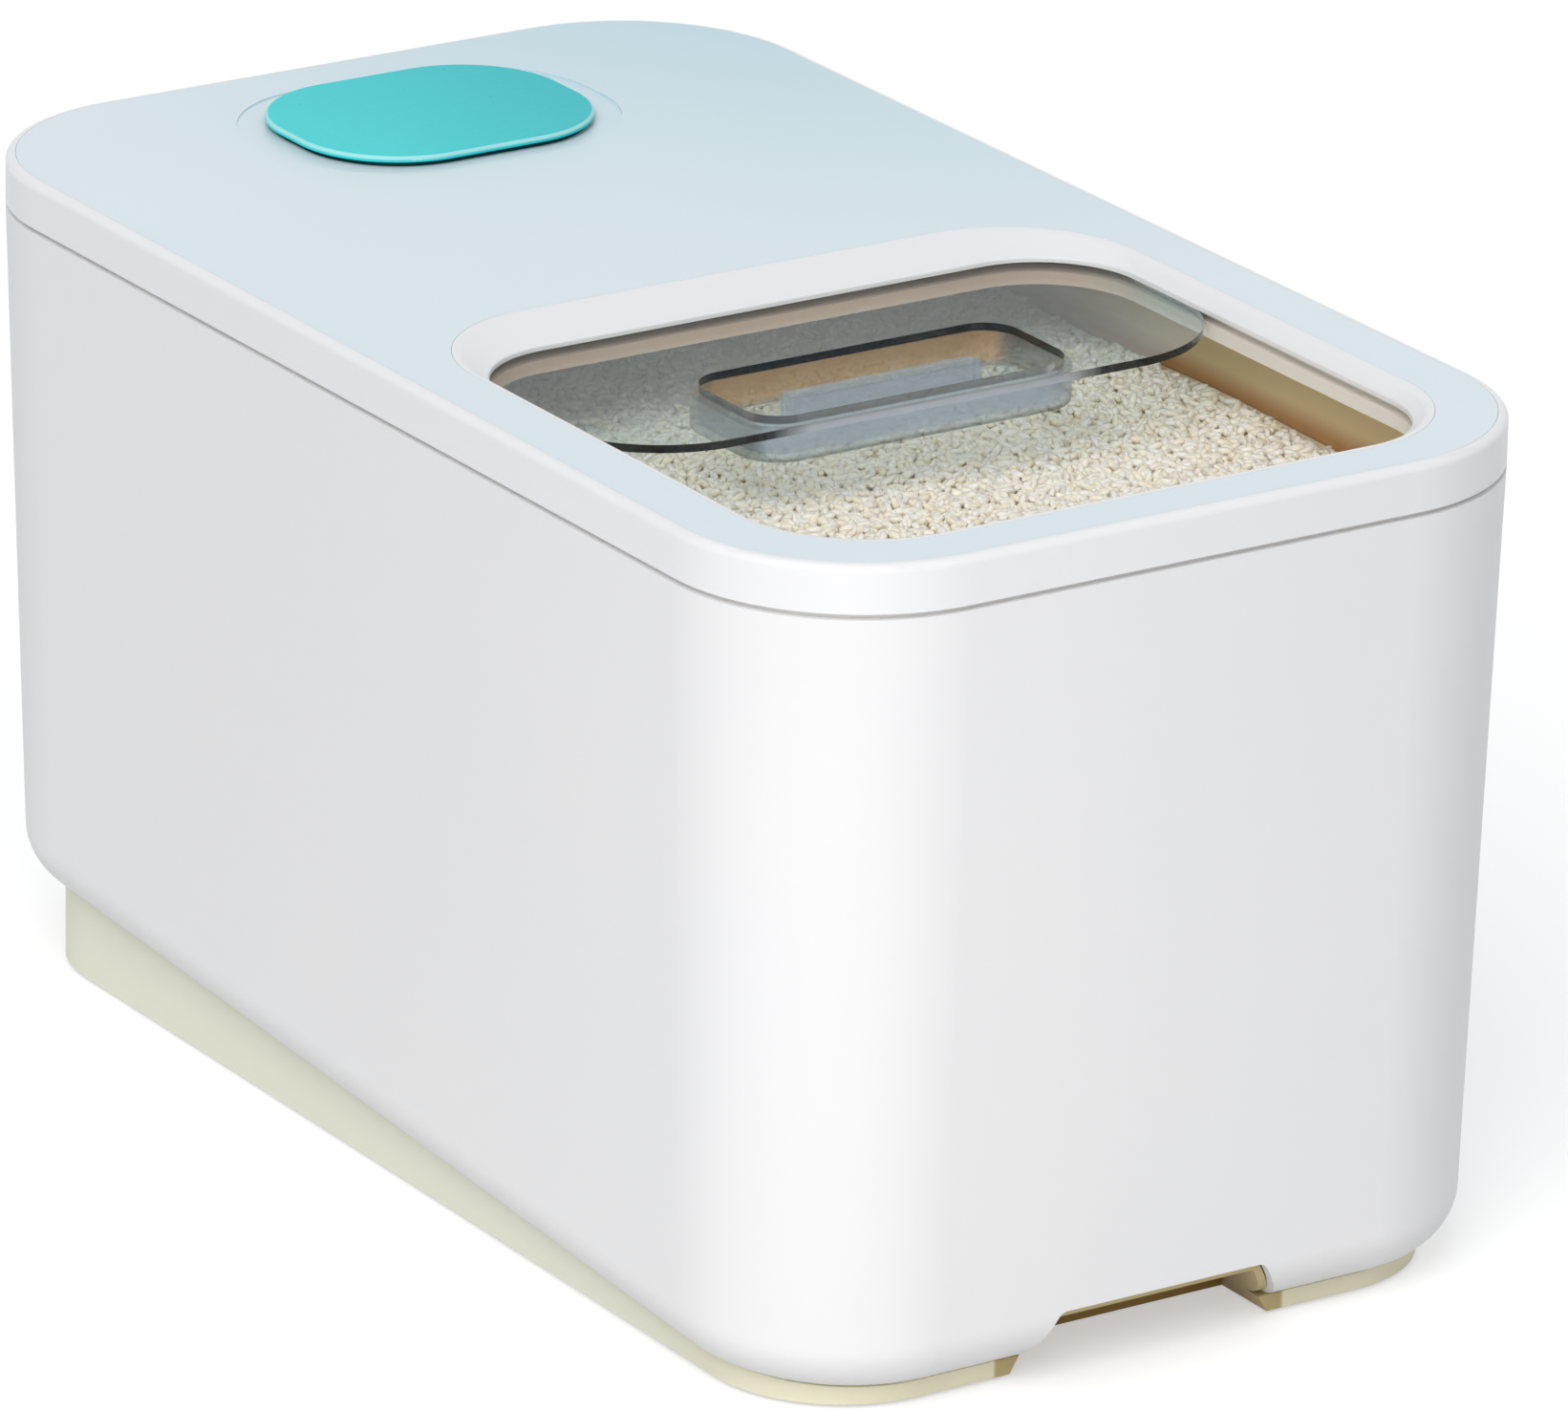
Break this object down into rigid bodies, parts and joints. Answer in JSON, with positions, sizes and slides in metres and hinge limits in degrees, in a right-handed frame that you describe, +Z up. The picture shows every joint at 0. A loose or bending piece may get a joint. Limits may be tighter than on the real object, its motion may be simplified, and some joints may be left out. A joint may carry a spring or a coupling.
{
  "type": "rice storage container",
  "caption": "Long white lidded kitchen bin on a wedge base, with a sliding clear hatch over a loose inner bin, a lift-off repellent cap and a finger notch for tilting it onto rear rollers.",
  "frame": {"origin": "on the surface the container stands on, under the middle of its plan", "axes": "+X to the right as seen from the front, +Y along the container to the rear, +Z up; the finger notch faces -Y"},
  "size_m": [0.22, 0.387, 0.2135],
  "materials": {
    "white_shell": "satin moulded polypropylene",
    "cream_bin": "moulded polypropylene",
    "cream_base": "moulded polypropylene",
    "screw_steel": "zinc plated",
    "foot_rubber": "moulded rubber",
    "roller_nylon": "moulded nylon",
    "pin_steel": "drawn steel",
    "white_lid": "satin moulded polypropylene",
    "deck_plate": "satin moulded plate",
    "silicone": "moulded silicone",
    "rail_white": "moulded polypropylene",
    "clear_hatch": "clear moulded styrene resin",
    "cup_white": "moulded polypropylene",
    "teal_cap": "satin moulded polypropylene"
  },
  "bodies": {
    "shell": {"outer_shell": "white_shell", "base_stand": "cream_base", "base_screws": "screw_steel", "foot_front_left": "foot_rubber", "foot_front_right": "foot_rubber", "foot_rear_left": "foot_rubber", "foot_rear_right": "foot_rubber", "roller_pin_left": "pin_steel", "roller_pin_right": "pin_steel"},
    "bin": {"inner_bin": "cream_bin"},
    "lid": {"lid_frame": "white_lid", "top_plate": "deck_plate", "lid_seal": "silicone", "rail_frame": "rail_white", "rail_screws": "screw_steel", "repellent_cup": "cup_white"},
    "hatch": {"hatch_panel": "clear_hatch"},
    "cap": {"repellent_cap": "teal_cap", "cap_seal": "silicone"},
    "left_roller": {"roller_left": "roller_nylon"},
    "right_roller": {"roller_right": "roller_nylon"}
  },
  "joints": [
    {"name": "bin_lift", "type": "slide", "parent": "shell", "child": "bin", "axis": [0, 0, 1], "range_m": [0, 0.19]},
    {"name": "lid_lift", "type": "slide", "parent": "bin", "child": "lid", "axis": [0, 0, 1], "range_m": [0, 0.08]},
    {"name": "hatch_slide", "type": "slide", "parent": "lid", "child": "hatch", "axis": [0, 1, 0], "range_m": [-0.0863, 0.0224]},
    {"name": "cap_lift", "type": "slide", "parent": "lid", "child": "cap", "axis": [0, 0, 1], "range_m": [0, 0.03]},
    {"name": "left_roller_spin", "type": "hinge", "parent": "shell", "child": "left_roller", "pos_m": [-0.05877, 0.15827, 0.0064], "axis": [1, 0, 0], "continuous": true},
    {"name": "right_roller_spin", "type": "hinge", "parent": "shell", "child": "right_roller", "pos_m": [0.05877, 0.15827, 0.0064], "axis": [1, 0, 0], "continuous": true}
  ]
}
